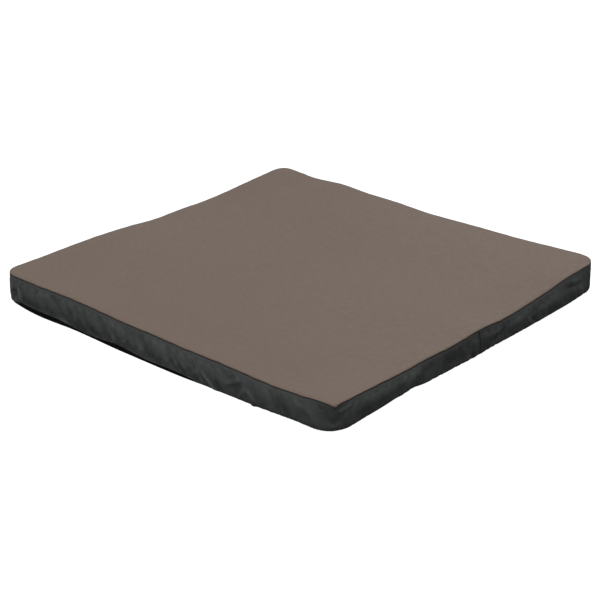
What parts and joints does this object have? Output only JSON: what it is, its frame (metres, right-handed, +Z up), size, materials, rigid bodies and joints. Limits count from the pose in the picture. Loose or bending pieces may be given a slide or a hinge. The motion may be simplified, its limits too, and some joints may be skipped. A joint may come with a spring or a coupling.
{
  "type": "spa cover",
  "caption": "Square folding spa cover: foam boards in one sewn jacket, a smooth top over dark side bands, folding along a central fabric hinge.",
  "frame": {"origin": "middle of the underside, on the fold", "axes": "+X across the fold towards the half that lifts, +Y along the fold, +Z up"},
  "size_m": [1.505, 1.55, 0.1115],
  "materials": {
    "top_fabric": "satin taupe coated fabric",
    "band_fabric": "matt charcoal woven coated fabric",
    "liner_fabric": "matt black mesh fabric",
    "foam_board": "matt expanded bead foam",
    "barrier_film": "glossy polyethylene film",
    "galvanised_steel": "galvanised",
    "webbing": "woven polypropylene tape",
    "zip_tape": "woven zip tape",
    "zip_coil": "moulded coil",
    "zip_metal": "plated metal",
    "eyelet_brass": "plated",
    "seal_foam": "closed-cell foam"
  },
  "bodies": {
    "fixed_half": {"fixed_foam_core": "foam_board", "fixed_fold_channel": "galvanised_steel", "fixed_vapour_barrier": "barrier_film", "fixed_top_panel": "top_fabric", "fixed_hinge_webbing": "webbing", "fixed_side_band": "band_fabric", "fixed_seam_tape": "webbing", "fixed_fold_wall_upper": "band_fabric", "fixed_fold_wall_lower": "band_fabric", "fixed_zip_tapes": "zip_tape", "fixed_zip_chain": "zip_coil", "fixed_zip_stops": "zip_metal", "fixed_underside_liner": "liner_fabric", "fixed_drain_eyelets": "eyelet_brass", "seal_foam": "seal_foam", "seal_sleeve": "band_fabric"},
    "folding_half": {"folding_foam_core": "foam_board", "folding_fold_channel": "galvanised_steel", "folding_vapour_barrier": "barrier_film", "folding_top_panel": "top_fabric", "folding_hinge_webbing": "webbing", "folding_side_band": "band_fabric", "folding_seam_tape": "webbing", "folding_fold_wall_upper": "band_fabric", "folding_fold_wall_lower": "band_fabric", "folding_zip_tapes": "zip_tape", "folding_zip_chain": "zip_coil", "folding_zip_stops": "zip_metal", "folding_underside_liner": "liner_fabric", "folding_drain_eyelets": "eyelet_brass"},
    "fixed_slider": {"fixed_zip_slider": "zip_metal", "fixed_pull_tab": "zip_metal"},
    "folding_slider": {"folding_zip_slider": "zip_metal", "folding_pull_tab": "zip_metal"}
  },
  "joints": [
    {"name": "fold_hinge", "type": "hinge", "parent": "fixed_half", "child": "folding_half", "pos_m": [0, 0, 0.1125], "axis": [0, -1, 0], "range_deg": [0, 178]},
    {"name": "fixed_zip_slide", "type": "slide", "parent": "fixed_half", "child": "fixed_slider", "axis": [0, 1, 0], "range_m": [0, 1.428]},
    {"name": "folding_zip_slide", "type": "slide", "parent": "folding_half", "child": "folding_slider", "axis": [0, 1, 0], "range_m": [0, 1.428]}
  ]
}
